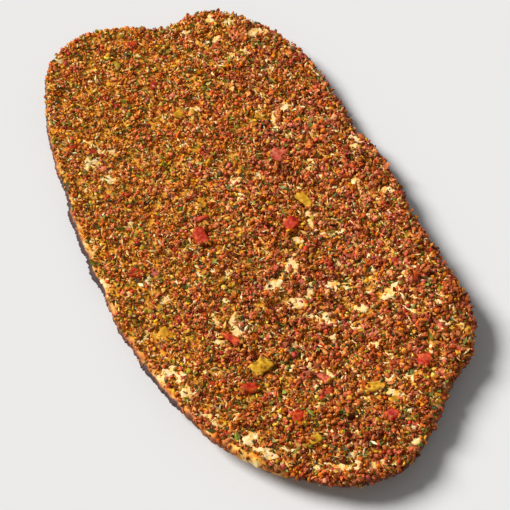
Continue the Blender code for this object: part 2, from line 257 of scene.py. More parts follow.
# ------------------------------------------------------------- where dough shows
GAPS = (
    # x, y, half-length, half-width, heading: the larger gaps in the mince
    (-47.0, 83.0, 6.5, 2.6, -28.0), (-57.0, 78.5, 5.0, 4.2, 30.0), (-52.0, 91.0, 4.0, 2.0, -50.0),
    (-53.0, 66.0, 4.0, 3.0, -40.0), (-67.0, 64.0, 3.4, 1.5, 10.0), (-75.0, 61.0, 2.6, 1.8, 0.0),
    (-75.0, 51.0, 3.0, 1.5, -20.0), (-56.0, 34.5, 3.0, 2.4, 70.0), (-80.0, 27.0, 4.6, 2.0, 60.0),
    (-78.0, 17.0, 4.4, 1.4, 80.0), (-83.5, 4.0, 4.4, 2.6, 20.0), (-71.0, 1.5, 2.6, 1.8, 0.0),
    (-61.5, -3.5, 3.6, 1.6, 70.0), (-76.0, -7.0, 4.0, 1.5, 15.0), (-60.0, -17.5, 3.0, 2.6, -20.0),
    (-43.0, -15.0, 3.4, 1.3, 60.0), (-35.0, -12.5, 3.0, 1.2, -60.0), (-28.0, -13.5, 3.0, 1.4, -45.0),
    (-22.0, -19.0, 2.6, 1.6, 60.0), (-78.0, -34.0, 3.6, 2.0, 70.0), (-57.0, -27.0, 2.0, 1.2, 0.0),
    (-45.0, -54.0, 4.2, 2.1, -60.0), (-34.0, -52.5, 5.4, 2.3, 84.0), (-41.0, -42.5, 3.0, 1.8, 50.0),
    (-32.5, -45.0, 3.4, 1.8, 30.0), (-77.0, -60.0, 5.6, 2.4, 12.0), (-73.5, -65.0, 3.0, 2.4, 40.0),
    (-75.0, -76.0, 6.0, 3.6, 70.0), (-56.0, -71.5, 2.2, 1.8, 0.0), (-62.0, -86.0, 4.2, 1.5, 20.0),
    (-70.0, -97.0, 6.0, 2.4, -70.0), (-59.0, -114.5, 5.8, 3.2, 0.0), (-56.0, -123.0, 6.0, 2.6, -48.0),
    (-54.0, -128.0, 4.6, 2.6, -40.0), (-44.5, -129.0, 3.0, 1.4, -60.0), (-18.0, -86.0, 2.4, 1.6, 30.0),
    (-8.5, -92.5, 4.6, 1.7, -58.0), (-3.0, -99.5, 3.4, 2.0, -70.0), (-29.5, -101.0, 3.6, 1.7, -60.0),
    (-14.0, -103.0, 3.0, 1.6, 50.0), (-28.0, -149.0, 5.8, 2.6, -18.0), (-34.5, -144.5, 4.0, 2.0, 10.0),
    (-16.5, -146.5, 2.6, 2.2, 40.0), (-20.0, -154.0, 5.0, 1.8, -12.0), (-11.0, -157.0, 3.4, 1.8, 0.0),
    (12.0, 87.0, 3.6, 1.9, 22.0), (28.5, 76.5, 3.4, 1.8, 10.0), (60.0, 89.0, 5.0, 1.7, 0.0),
    (42.0, 123.5, 5.4, 1.9, 6.0), (28.0, 119.0, 3.2, 1.2, -60.0), (57.0, 128.0, 4.4, 1.8, -70.0),
    (66.0, 115.5, 4.0, 2.6, -30.0), (75.5, 106.0, 3.6, 1.6, 60.0), (80.5, 97.0, 3.4, 1.6, 10.0),
    (83.5, 90.0, 4.4, 1.8, -60.0), (84.5, 73.0, 6.0, 1.8, -86.0), (84.5, 61.0, 5.0, 1.5, -88.0),
    (57.5, 61.5, 4.0, 2.8, 40.0), (48.0, 56.5, 4.4, 1.6, 80.0), (42.5, 67.0, 2.4, 1.5, 0.0),
    (47.5, 109.5, 3.0, 1.5, 70.0), (48.0, 137.5, 2.2, 1.6, 30.0), (33.0, 138.0, 2.2, 1.3, 0.0),
    (10.0, 31.5, 4.2, 2.2, 8.0), (8.0, 21.0, 3.4, 1.9, 88.0), (23.5, 31.0, 2.4, 1.5, 50.0),
    (83.5, 22.0, 3.0, 1.7, 40.0), (79.0, 18.0, 2.6, 2.2, 0.0), (50.0, 20.5, 2.6, 1.3, 0.0),
    (34.0, -11.5, 3.0, 2.2, 30.0), (38.0, -7.0, 5.2, 1.3, -35.0), (46.0, -15.5, 3.6, 1.1, -40.0),
    (22.5, -17.5, 2.2, 1.8, 30.0), (3.0, -15.5, 3.6, 1.6, -45.0), (66.5, -2.5, 3.4, 2.8, 60.0),
    (78.5, -18.0, 3.0, 2.0, 10.0), (44.5, -24.0, 2.2, 1.6, 0.0), (11.0, -30.5, 5.4, 4.0, 30.0),
    (-2.5, -35.5, 5.2, 3.6, -20.0), (35.0, -41.5, 3.2, 2.4, -50.0), (14.0, -48.5, 3.8, 2.2, 50.0),
    (3.5, -53.0, 5.4, 3.2, -28.0), (26.0, -52.0, 4.8, 2.2, -10.0), (6.0, -61.5, 3.0, 1.8, -30.0),
    (12.5, -66.5, 3.0, 2.2, 60.0), (37.0, -57.5, 5.0, 1.7, 6.0), (32.0, -73.0, 4.0, 2.8, 80.0),
    (47.5, -72.5, 4.4, 2.8, 20.0), (54.5, -70.0, 4.6, 1.5, 22.0), (60.0, -67.5, 3.4, 1.8, 40.0),
    (53.0, -78.5, 4.0, 1.8, 84.0), (11.0, -79.5, 3.6, 1.2, -10.0), (13.5, -73.5, 3.6, 1.1, -62.0),
    (36.5, -84.0, 3.8, 1.3, 70.0), (-13.5, -76.0, 2.6, 2.2, 60.0), (47.0, -96.5, 2.2, 1.6, 60.0),
    (18.0, -125.5, 5.4, 2.8, -50.0), (13.0, -117.0, 3.8, 1.8, -20.0), (14.5, -138.5, 3.8, 1.7, -25.0),
    (15.0, -156.0, 4.8, 2.5, 10.0), (36.0, -144.5, 3.4, 1.8, 30.0), (70.5, -121.0, 3.6, 2.2, 60.0),
    (25.0, -96.0, 2.8, 1.3, -30.0), (29.0, -103.5, 3.2, 1.0, 80.0), (33.5, -122.0, 2.4, 1.5, 30.0),
    (-45.0, 150.5, 3.0, 2.4, 60.0), (-61.0, 128.0, 3.0, 1.2, 60.0), (-66.5, 114.0, 4.2, 1.2, 72.0),
)


def showing(x, y):
    """How much the dough shows through the mince: 1 in a gap, 0 under the mince."""
    px = x + 2.1 * grain(x, y, 4.2, 31) + 0.8 * grain(x, y, 1.7, 37)
    py = y + 2.1 * grain(x, y, 4.2, 32) + 0.8 * grain(x, y, 1.7, 38)
    found = np.zeros(np.shape(x))
    ragged = 0.62 * grain(x, y, 2.6, 33) + 0.30 * grain(x, y, 1.4, 35)
    for gx, gy, length, width, heading in GAPS:
        near = (np.abs(x - gx) < length * 1.9 + 2.0) & (np.abs(y - gy) < length * 1.9 + 2.0)
        if not near.any():
            continue
        a = math.radians(heading)
        dx, dy = px[near] - gx - 0.6, py[near] - gy - 2.2
        u = (dx * math.cos(a) + dy * math.sin(a)) / (length * 1.25)
        v = (-dx * math.sin(a) + dy * math.cos(a)) / (width * 1.26)
        found[near] = np.maximum(found[near], smooth(1.7 * (1.0 + ragged[near] - (u * u + v * v)) ))
    # small chance gaps, more of them towards the near half
    busy = 0.345 - 0.05 * smooth((60.0 - y) / 160.0) - 0.075 * coarse(x, y)
    chance = 0.62 * grain(x, y, 4.4, 41) + 0.40 * grain(x, y, 2.1, 43)
    found = np.maximum(found, smooth((chance - busy) / 0.12))
    # thin branching cracks between the clumps
    wander = 0.9 * grain(x, y, 3.0, 45)
    crack = 1.0 - np.abs(grain(x + wander, y + wander, 8.0, 46)) / (0.085 + 0.065 * coarse(x, y))
    where = smooth((grain(x, y, 17.0, 47) + 0.34 - 0.0016 * y) / 0.40) * smooth((grain(x, y, 4.2, 48) + 0.22) / 0.35)
    found = np.maximum(found, smooth(crack) * where)
    return found


LOOSE = 0.40  # loose crumbs carry the mince this much nearer to the edge than its solid
HELD_BACK = ((163.0, 0.62, 17.0), (119.0, 0.25, 7.0), (216.0, 0.30, 8.0), (262.0, -0.34, 9.0), (230.0, -0.15, 6.0))


def heaped(x, y):
    """How thickly the crumbs lie: above 0 in clumps, below 0 where oily sauce shows."""
    return 0.68 * grain(x, y, 8.5, 141) + 0.50 * grain(x, y, 4.2, 142) + 0.22 * grain(x, y, 2.2, 143)


def coarse(x, y):
    """0 towards the far left, where the mince is fine and pressed flat, 1 towards the near right."""
    return smooth((0.883 * x - 0.469 * y + 75.0) / 130.0 + 0.25 * grain(x, y, 26.0, 145))


def mince_inside(x, y):
    """Distance inside the mince's own ragged outline."""
    direction, share = polar(x, y)
    inside = (1.0 - share) * reach_at(direction) - bare_rim(direction) * (
        LOOSE + swell(direction, HELD_BACK)
    )
    return inside + 1.3 * grain(x, y, 7.0, 51) + 1.0 * grain(x, y, 2.8, 52) + 0.5


def cover(x, y):
    """1 where the mince lies, falling to 0 in gaps and beyond its outline."""
    return smooth(mince_inside(x, y) / 1.3) * (1.0 - showing(x, y))


def core_relief(x, y):
    lump = fractal(x, y, 9.0, 61, 2)
    fine = fractal(x, y, 2.4, 65, 2)
    high = 0.55 + 0.45 * coarse(x, y)
    return 0.85 + 0.35 * lump + 0.45 * fine + 0.9 * high * np.clip(heaped(x, y), -0.5, 0.8)


def core_top(x, y, covered=None):
    covered = cover(x, y) if covered is None else covered
    edge = smooth(mince_inside(x, y) / 7.0)
    high = core_relief(x, y) * (0.45 + 0.55 * edge)
    return dough_top(x, y) + covered * (high + 0.30) - 0.30


# ----------------------------------------------------------------- mesh helpers


def mesh_object(name, points, faces, colours=None, uv=None, smooth_shade=True, extra=None):
    """A mesh from numpy arrays: points in mm, triangles or quads, colours per point."""
    faces = np.asarray(faces, np.int32)
    sides = faces.shape[1]
    mesh = bpy.data.meshes.new(name)
    mesh.vertices.add(len(points))
    mesh.vertices.foreach_set("co", (np.asarray(points) * MM).astype(np.float32).ravel())
    mesh.loops.add(faces.size)
    mesh.loops.foreach_set("vertex_index", faces.ravel())
    mesh.polygons.add(len(faces))
    mesh.polygons.foreach_set("loop_start", np.arange(0, faces.size, sides, dtype=np.int32))
    mesh.polygons.foreach_set("loop_total", np.full(len(faces), sides, np.int32))
    mesh.update(calc_edges=True)
    mesh.validate()
    mesh.polygons.foreach_set("use_smooth", np.full(len(mesh.polygons), smooth_shade))
    if colours is not None:
        layer = mesh.color_attributes.new("tint", "FLOAT_COLOR", "POINT")
        rgba = np.ones((len(points), 4), np.float32)
        rgba[:, :3] = colours
        layer.data.foreach_set("color", rgba.ravel())
    for key, values in (extra or {}).items():
        layer = mesh.attributes.new(key, "FLOAT", "POINT")
        layer.data.foreach_set("value", np.asarray(values, np.float32))
    if uv is not None:
        layer = mesh.uv_layers.new(name="OFBake")
        layer.uv.foreach_set("vector", np.asarray(uv, np.float32).ravel())
    made = bpy.data.objects.new(name, mesh)
    bpy.context.scene.collection.objects.link(made)
    return made


def ring_faces(rings, around):
    i = np.arange(around)
    j = (i + 1) % around
    bands = []
    for k in range(rings - 1):
        a, b = k * around, (k + 1) * around
        bands.append(np.stack([a + i, b + i, b + j, a + j], 1))
    return np.concatenate(bands)


# -------------------------------------------------------------- the dough itself
CHARRED = (
    # direction, strength, half-width of the burnt stretches of the edge
    (106.0, 0.45, 5.0), (118.0, 0.95, 4.5), (129.0, 0.40, 4.0), (139.0, 0.85, 4.5),
    (149.0, 0.95, 5.0), (159.0, 0.80, 5.0), (168.0, 0.90, 5.0), (177.0, 0.85, 4.5),
    (190.0, 0.45, 7.0), (201.0, 0.55, 5.0), (212.0, 1.0, 3.2), (221.5, 1.0, 3.8),
    (243.0, 0.22, 7.0), (258.0, 0.35, 7.0), (272.0, 0.38, 7.0), (286.0, 0.42, 6.0),
    (300.0, 0.35, 6.0), (318.0, 0.25, 8.0), (340.0, 0.30, 9.0), (3.0, 0.35, 8.0),
    (24.0, 0.30, 8.0), (44.0, 0.35, 7.0), (66.0, 0.40, 6.0), (90.0, 0.45, 7.0),
)
# direction, how much paler, half-width
PALE_STRETCHES = ((244.0, 0.75, 4.5), (262.0, -0.25, 8.0), (226.0, -0.15, 6.0), (30.0, 0.30, 22.0), (8.0, 0.25, 10.0), (178.0, 0.25, 8.0))


def build_dough():
    around = 900
    d = even_directions(around)
    run = np.arange(around) / around * EDGE_LENGTH
    char = np.clip(swell(d, CHARRED), 0.0, 1.0)
    still = run * 0.0
    toast = np.clip(1.0 - swell(d, PALE_STRETCHES) + 0.25 * grain(run, still + 120.0, 9.0, 76), 0.1, 1.2)
    jag = 0.62 * grain(run, still, 3.6, 71) + 0.50 * grain(run, still + 40.0, 1.7, 72)
    teeth = 0.30 * np.sin(run * 2 * np.pi / 2.15 + 4.0 * grain(run, still, 6.0, 73)) * (0.25 + 0.75 * char)
    outer = jag + teeth - 0.10
    fold = np.exp(-0.5 * (((d - 241.0 + 180.0) % 360.0 - 180.0) / 6.5) ** 2)
    distances = (0.0, 0.12, 0.3, 0.55, 0.9, 1.3, 1.8, 2.4, 3.1, 3.9, 4.8, 5.8, 7.0, 8.4, 10.0, 12.4, 15.5, 20.0)
    inner = np.linspace(0.0, 1.0, 16)[1:-1]
    rows, brown, burnt, below = [], [], [], []

    def add(share, from_edge, top):
        x, y = place(d, share, outer * np.exp(-from_edge / 1.8))
        sx, sy = place(d, share)
        under = underside(d, share, sx, sy)
        thick = dough_thickness(d, share, sx, sy) + 1.5 * fold * np.exp(-((from_edge - 3.2) / 3.4) ** 2)
        if top:
            z = under + thick * (TIP + (1.0 - TIP) * rounding(from_edge)) + dough_detail(sx, sy, from_edge)
        else:
            t = 1.0 - rounding(from_edge)
            z = under + TIP * thick * t
            z = z + 0.16 * fractal(x, y, 9.0, 81, 3) * np.clip((share - 0.46) / 0.2, 0.0, 1.0) * np.clip(from_edge / 2.0, 0.0, 1.0)
            z = np.maximum(z, 0.0)
        z = z + 0.40 * grain(run, still + 9.0, 2.4, 74) * np.exp(-from_edge / 1.2)
        rows.append(np.stack([x, y, z], 1))
        wide = 0.30 + 2.1 * char * (1.0 + 0.6 * grain(run, still + 70.0, 5.0, 75))
        hot = 0.55 * fractal(x, y, 5.0, 91, 3)
        if top:
            burnt.append(np.clip(char * np.exp(-((from_edge / wide) ** 2)) + 0.6 * hot * np.exp(-from_edge / 1.2), 0.0, 1.0))
            brown.append(np.clip(toast * (1.05 * np.exp(-from_edge / 2.0) + 0.30 * np.exp(-from_edge / 7.0)) + 1.1 * hot * np.exp(-from_edge / 7.0), 0.0, 1.0))
            below.append(np.zeros(around))
        else:
            burnt.append(np.clip(char * np.exp(-((from_edge / (wide * 2.0 + 1.2)) ** 2)) + 0.6 * hot * np.exp(-from_edge / 4.0), 0.0, 1.0))
            brown.append(np.clip(toast * 1.0 * np.exp(-from_edge / 5.0) + 0.2 + 0.6 * hot, 0.0, 1.0))
            below.append(np.clip(from_edge / 1.2, 0.0, 1.0) if np.ndim(from_edge) else np.full(around, min(from_edge / 1.2, 1.0)))

    reach = reach_at(d)
    start = 1.0 - distances[-1] / reach
    for s in inner:  # from the middle out
        add(s * start, (1.0 - s * start) * reach, True)
    for from_edge in distances[::-1]:
        add(1.0 - from_edge / reach, np.full(around, from_edge), True)
    for from_edge in distances[1:]:
        add(1.0 - from_edge / reach, np.full(around, from_edge), False)
    for s in inner[::-1]:
        add(s * start, (1.0 - s * start) * reach, False)
    rings = len(rows)
    points = np.concatenate(rows)
    faces = ring_faces(rings, around)
    # close the two middles
    top_at, under_at = len(points), len(points) + 1
    centre = np.array(
        [
            [-MIDDLE[0], -MIDDLE[1], rows[0][:, 2].mean()],
            [-MIDDLE[0], -MIDDLE[1], 0.0],
        ]
    )
    points = np.concatenate([points, centre])
    i = np.arange(around)
    j = (i + 1) % around
    last = (rings - 1) * around
    tri = np.concatenate(
        [
            np.stack([np.full(around, top_at), i, j], 1),
            np.stack([np.full(around, under_at), last + j, last + i], 1),
        ]
    )
    faces = np.concatenate([faces[:, [0, 1, 2]], faces[:, [0, 2, 3]], tri])
    both = lambda rows_: np.concatenate(rows_ + [np.array([rows_[0].mean(), rows_[-1].mean()])])
    px, py = points[:, 0], points[:, 1]
    # oil that soaked out of the mince, strongest next to it
    inside = mince_inside(px, py)
    oil = np.clip(smooth((inside + 3.6) / 4.0) * (0.62 + 1.1 * fractal(px, py, 3.2, 95, 3)), 0.0, 1.0)
    oil = oil * (1.0 - both(below))
    made = mesh_object(
        "bread",
        points,
        faces,
        extra={"brown": both(brown), "burnt": both(burnt), "below": both(below), "oil": oil},
    )
    return made


# ------------------------------------------------------------- the bed of mince


def build_core():
    step = 0.95
    gx = np.arange(-92.0, 92.01, step)
    gy = np.arange(-167.0, 167.01, step)
    X, Y = np.meshgrid(gx, gy)
    direction, share = polar(X, Y)
    keep = (1.0 - share) * reach_at(direction) > 0.7
    covered = cover(X, Y)
    z = core_top(X, Y, covered)
    index = np.full(X.shape, -1)
    full = keep[:-1, :-1] & keep[1:, :-1] & keep[:-1, 1:] & keep[1:, 1:]
    some = np.maximum.reduce([covered[:-1, :-1], covered[1:, :-1], covered[:-1, 1:], covered[1:, 1:]]) > 0.01
    full &= some
    used = np.zeros(X.shape, bool)
    used[:-1, :-1] |= full
    used[1:, :-1] |= full
    used[:-1, 1:] |= full
    used[1:, 1:] |= full
    index[used] = np.arange(used.sum())
    points = np.stack([X[used], Y[used], z[used]], 1)
    a, b = index[:-1, :-1][full], index[:-1, 1:][full]
    c, e = index[1:, 1:][full], index[1:, :-1][full]
    faces = np.stack([a, b, c, e], 1)
    # wetter, yellower near the gaps
    sauce = 0.52 - 1.15 * heaped(X[used], Y[used]) + 0.12 * (1.0 - coarse(X[used], Y[used]))
    soaked = np.clip(0.7 * (1.0 - covered[used]) + sauce, 0.0, 1.0)
    return mesh_object("mince_bed", points, faces, extra={"soaked": soaked})


def build_patches():
    """The dough that puffed up through the gaps in the mince, on a finer grid."""
    step = 0.62
    X, Y = np.meshgrid(np.arange(-92.0, 92.01, step), np.arange(-167.0, 167.01, step))
    direction, share = polar(X, Y)
    open_ = showing(X, Y)
    keep = (open_ > 0.015) & ((1.0 - share) * reach_at(direction) > 1.6)
    ridges = 1.0 - np.abs(grain(X, Y, 3.6, 152)) * 2.2
    puff = 0.26 * fractal(X, Y, 3.4, 151, 3) + 0.30 * np.clip(ridges, -0.6, 1.0) + 0.16 * grain(X, Y, 1.5, 154)
    z = dough_top(X, Y) - 0.35 + open_**0.8 * (1.45 + 0.55 * coarse(X, Y) + puff)
    z = np.where(mince_inside(X, Y) < 1.5, np.minimum(z, dough_top(X, Y) + 0.25 + 0.5 * puff), z)
    full = keep[:-1, :-1] & keep[1:, :-1] & keep[:-1, 1:] & keep[1:, 1:]
    used = np.zeros(X.shape, bool)
    for a in (slice(None, -1), slice(1, None)):
        for b in (slice(None, -1), slice(1, None)):
            used[a, b] |= full
    index = np.full(X.shape, -1)
    index[used] = np.arange(used.sum())
    faces = np.stack(
        [index[:-1, :-1][full], index[:-1, 1:][full], index[1:, 1:][full], index[1:, :-1][full]], 1
    )
    px, py, shown = X[used], Y[used], open_[used]
    oil = np.clip(1.16 - 1.12 * shown + 1.2 * fractal(px, py, 2.6, 157, 3), 0.0, 1.0)
    brown = np.clip(0.08 + 0.60 * fractal(px, py, 4.0, 161, 2), 0.0, 1.0)
    none = np.zeros(len(px))
    return mesh_object(
        "dough_patches", np.stack([px, py, z[used]], 1), faces,
        extra={"brown": brown, "burnt": none, "below": none, "oil": oil},
    )


# ------------------------------------------------------------------ small bits


def uneven_sides(count, spread_):
    """How much longer or shorter each bit is along its own three axes, without needles."""
    return np.exp(np.clip(rng.normal(0.0, spread_, (count, 3)), -0.62, 0.48))


def icosphere(level):
    t = (1.0 + 5.0**0.5) / 2.0
    v = [(-1, t, 0), (1, t, 0), (-1, -t, 0), (1, -t, 0), (0, -1, t), (0, 1, t), (0, -1, -t), (0, 1, -t), (t, 0, -1), (t, 0, 1), (-t, 0, -1), (-t, 0, 1)]
    f = [(0, 11, 5), (0, 5, 1), (0, 1, 7), (0, 7, 10), (0, 10, 11), (1, 5, 9), (5, 11, 4), (11, 10, 2), (10, 7, 6), (7, 1, 8), (3, 9, 4), (3, 4, 2), (3, 2, 6), (3, 6, 8), (3, 8, 9), (4, 9, 5), (2, 4, 11), (6, 2, 10), (8, 6, 7), (9, 8, 1)]
    v = [np.array(p, float) / np.linalg.norm(p) for p in v]
    for _ in range(level):
        middle, out = {}, []

        def mid(i, j):
            key = (min(i, j), max(i, j))
            if key not in middle:
                p = v[i] + v[j]
                v.append(p / np.linalg.norm(p))
                middle[key] = len(v) - 1
            return middle[key]

        for i, j, k in f:
            a, b, c = mid(i, j), mid(j, k), mid(k, i)
            out += [(i, a, c), (j, b, a), (k, c, b), (a, b, c)]
        f = out
    return np.array(v), np.array(f)


def folded_square(directions):
    """Directions laid out on a unit square, so that every side of a bit has its own place."""
    n = directions / np.abs(directions).sum(1, keepdims=True)
    x, y = n[:, 0].copy(), n[:, 1].copy()
    low = n[:, 2] < 0
    fx = (1 - np.abs(y)) * np.where(x >= 0, 1, -1)
    fy = (1 - np.abs(x)) * np.where(y >= 0, 1, -1)
    x[low], y[low] = fx[low], fy[low]
    return np.stack([x, y], 1) * 0.5 + 0.5


def turned(count, most_tilt=None, source=None):
    """Random rotation matrices; with most_tilt the z axis stays that near upright, in radians."""
    r = source or rng
    if most_tilt is None:
        q = r.normal(size=(count, 4))
        q /= np.linalg.norm(q, axis=1, keepdims=True)
        w, x, y, z = q.T
        return np.stack(
            [
                1 - 2 * (y * y + z * z), 2 * (x * y - z * w), 2 * (x * z + y * w),
                2 * (x * y + z * w), 1 - 2 * (x * x + z * z), 2 * (y * z - x * w),
                2 * (x * z - y * w), 2 * (y * z + x * w), 1 - 2 * (x * x + y * y),
            ],
            1,
        ).reshape(count, 3, 3)
    spin = r.uniform(0, 2 * np.pi, count)
    tilt = most_tilt * np.sqrt(r.uniform(0, 1, count))
    way = r.uniform(0, 2 * np.pi, count)
    cs, sn = np.cos(spin), np.sin(spin)
    zero, one = np.zeros(count), np.ones(count)
    turn = np.stack([cs, -sn, zero, sn, cs, zero, zero, zero, one], 1).reshape(count, 3, 3)
    ax, ay = np.cos(way), np.sin(way)
    ct, st = np.cos(tilt), np.sin(tilt)
    lean = np.stack(
        [
            ct + ax * ax * (1 - ct), ax * ay * (1 - ct), ay * st,
            ax * ay * (1 - ct), ct + ay * ay * (1 - ct), -ax * st,
            -ay * st, ax * st, ct,
        ],
        1,
    ).reshape(count, 3, 3)
    return lean @ turn


def lumpy(level, rough, variants, seed, power=1.0):
    """Irregular lumps, each about 1 across."""
    r = np.random.default_rng(seed)
    v, f = icosphere(level)
    shapes = []
    for _ in range(variants):
        push = r.normal(size=(7, 3))
        push /= np.linalg.norm(push, axis=1, keepdims=True)
        high = r.uniform(-1, 1, 7) * rough
        radius = 1.0 + (np.exp(-4.0 * (1 - v @ push.T)) * high).sum(1)
        radius *= 1.0 + r.uniform(-0.5, 0.5, len(v)) * rough
        shapes.append(v * np.clip(radius, 0.5, 1.6)[:, None] * 0.5)
    return shapes, f, folded_square(v)


def octahedron():
    v = np.array([(1, 0, 0), (-1, 0, 0), (0, 1, 0), (0, -1, 0), (0, 0, 1), (0, 0, -1)], float)
    f = [(0, 2, 4), (2, 1, 4), (1, 3, 4), (3, 0, 4), (2, 0, 5), (1, 2, 5), (3, 1, 5), (0, 3, 5)]
    return v, np.array(f)


def ragged(level, rough, variants, seed):
    """Torn, angular scraps, each about 1 across; level -1 gives the simplest, with eight sides."""
    r = np.random.default_rng(seed)
    v, f = icosphere(level) if level >= 0 else octahedron()
    shapes = []
    for _ in range(variants):
        radius = r.uniform(1.0 - rough, 1.0 + rough * 0.8, len(v))
        if level > 0:
            push = r.normal(size=(6, 3))
            push /= np.linalg.norm(push, axis=1, keepdims=True)
            radius = radius * (1.0 + (np.exp(-5.0 * (1 - v @ push.T)) * r.uniform(-0.7, 0.7, 6)).sum(1))
        shapes.append(v * np.clip(radius, 0.35, 1.7)[:, None] * 0.5)
    return shapes, f, folded_square(v)


def knobby(variants, seed):
    """Clumps of small crumbs baked together, each about 1 across."""
    r = np.random.default_rng(seed)
    v, f = icosphere(1)
    shapes = []
    for _ in range(variants):
        knob = r.normal(size=(7, 3))
        knob /= np.linalg.norm(knob, axis=1, keepdims=True)
        out = (np.exp(-12.0 * (1 - v @ knob.T)) * r.uniform(0.45, 0.85, 7)).max(1)
        radius = (0.50 + out) * r.uniform(0.88, 1.12, len(v))
        shapes.append(v * radius[:, None] * 0.5)
    return shapes, f, folded_square(v)


def slabby(variants, seed):
    """Rounded, uneven slices of a vegetable, each about 1 across."""
    r = np.random.default_rng(seed)
    v, f = icosphere(2)
    shapes = []
    for _ in range(variants):
        square = v / ((np.abs(v) ** 4.5).sum(1) ** (1 / 4.5))[:, None]
        push = r.normal(size=(9, 3))
        push /= np.linalg.norm(push, axis=1, keepdims=True)
        radius = 1.0 + (np.exp(-6.0 * (1 - v @ push.T)) * r.uniform(-0.55, 0.30, 9)).sum(1)
        skew = r.uniform(-0.35, 0.35)
        made = square * np.clip(radius, 0.45, 1.3)[:, None] * 0.45
        made[:, 0] += skew * made[:, 1]
        shapes.append(made)
    return shapes, f, folded_square(v)


def lay(kit, places, sizes, rotations, colours, speckle=0.10, bend=0.0):
    """Many bits of one kit, as arrays. sizes are (n, 3) in mm, colours (n, 3) linear."""
    shapes, faces, square = kit
    n, nv = len(places), len(shapes[0])
    which = rng.integers(0, len(shapes), n)
    base = np.stack(shapes)[which] * sizes[:, None, :]
    if bend:
        base[:, :, 2] += bend * (base[:, :, 0] ** 2) / np.maximum(sizes[:, None, 0], 0.1)
    points = np.einsum("nij,nvj->nvi", rotations, base) + places[:, None, :]
    tint = colours[:, None, :] * (1.0 + speckle * rng.normal(size=(n, nv, 1)))
    return n, nv, points.reshape(-1, 3), faces, np.clip(tint.reshape(-1, 3), 0.0, 1.0), square


def gather(name, laid, smooth_shade=False):
    """One mesh of bits, each with its own cell of the map named OFBake."""
    cells = int(math.ceil(math.sqrt(sum(part[0] for part in laid))))
    points, triangles, tints, maps, first, number = [], [], [], [], 0, 0
    for n, nv, at, faces, tint, square in laid:
        every = (faces[None] + (np.arange(n) * nv)[:, None, None]).reshape(-1, 3)
        order = number + np.arange(n)
        cell = np.stack([order % cells, order // cells], 1) / cells
        uv = (cell[:, None, :] + (0.10 + 0.80 * square)[None] / cells).reshape(-1, 2)
        points.append(at)
        tints.append(tint)
        triangles.append(every + first)
        maps.append(uv[every.ravel()])
        first, number = first + len(at), number + n
    return mesh_object(
        name, np.concatenate(points), np.concatenate(triangles), colours=np.concatenate(tints),
        uv=np.concatenate(maps), smooth_shade=smooth_shade,
    )


def scatter(name, kit, places, sizes, rotations, colours, speckle=0.10, smooth_shade=False, bend=0.0):
    return gather(name, [lay(kit, places, sizes, rotations, colours, speckle, bend)], smooth_shade)


def spread(spacing, jitter=0.48, seed=1):
    """Jittered places over the whole bread."""
    r = np.random.default_rng(seed)
    gx = np.arange(-92.0, 92.0, spacing)
    gy = np.arange(-167.0, 167.0, spacing * 0.866)
    X, Y = np.meshgrid(gx, gy)
    X = X + (np.arange(len(gy)) % 2)[:, None] * spacing / 2.0
    X = X + r.uniform(-jitter, jitter, X.shape) * spacing
    Y = Y + r.uniform(-jitter, jitter, Y.shape) * spacing
    return X.ravel(), Y.ravel()


def pick(palette, count, value_spread=0.16, hue_spread=0.05):
    """Colours drawn from (weight, r, g, b) rows, each a little its own."""
    rows = np.array(palette)
    weight = rows[:, 0] / rows[:, 0].sum()
    chosen = rows[rng.choice(len(rows), count, p=weight), 1:]
    chosen = chosen * np.exp(rng.normal(0, value_spread, (count, 1)))
    return np.clip(chosen * np.exp(rng.normal(0, hue_spread, (count, 3))), 0.0, 0.95)


MINCE_COLOURS = (
    # weight, then linear red, green, blue
    (2.6, 0.56, 0.150, 0.010),
    (2.4, 0.62, 0.225, 0.038),
    (2.8, 0.60, 0.180, 0.052),
    (0.5, 0.62, 0.130, 0.026),
    (2.0, 0.36, 0.085, 0.005),
    (1.6, 0.19, 0.042, 0.002),
    (1.4, 0.80, 0.380, 0.090),
    (1.1, 0.76, 0.280, 0.006),
)


def crumb_colours(x, y):
    tone_and_painted_shade = 0.12 * fractal(x, y, 12.0, 131, 2) + 0.22 * grain(x, y, 3.0, 135)
    # painted shade: crumbs lying low between the clumps are darker, those on the clump tops lighter
    tone_and_painted_shade = tone_and_painted_shade + (0.10 + 0.28 * coarse(x, y)) * np.clip(heaped(x, y) - 0.08, -0.7, 0.5)
    # painted shade: darker towards the near right and lighter towards the far left, as the light falls from the far
    # left
    tone_and_painted_shade = tone_and_painted_shade + 0.04 - 0.0009 * (0.883 * x - 0.469 * y) + 0.0009 * (0.469 * x + 0.883 * y)
    made = pick(MINCE_COLOURS, len(x), 0.24, 0.07) * (1.0 + tone_and_painted_shade)[:, None]
    # pinker and yellower stretches, a finger's width across
    warm = 0.85 * fractal(x, y, 10.0, 137, 2) + 0.08 - 0.40 * coarse(x, y)
    made = made * (1.07 - 0.13 * coarse(x, y))[:, None]
    near = smooth((-40.0 - y) / 80.0)[:, None]
    made = made * (1.0 - near * np.array([[0.05, 0.14, 0.32]]))
    return made * np.stack([np.full(len(x), 1.01), 0.925 + 0.32 * warm, np.clip(1.0 - 0.9 * warm, 0.3, 1.9)], 1)


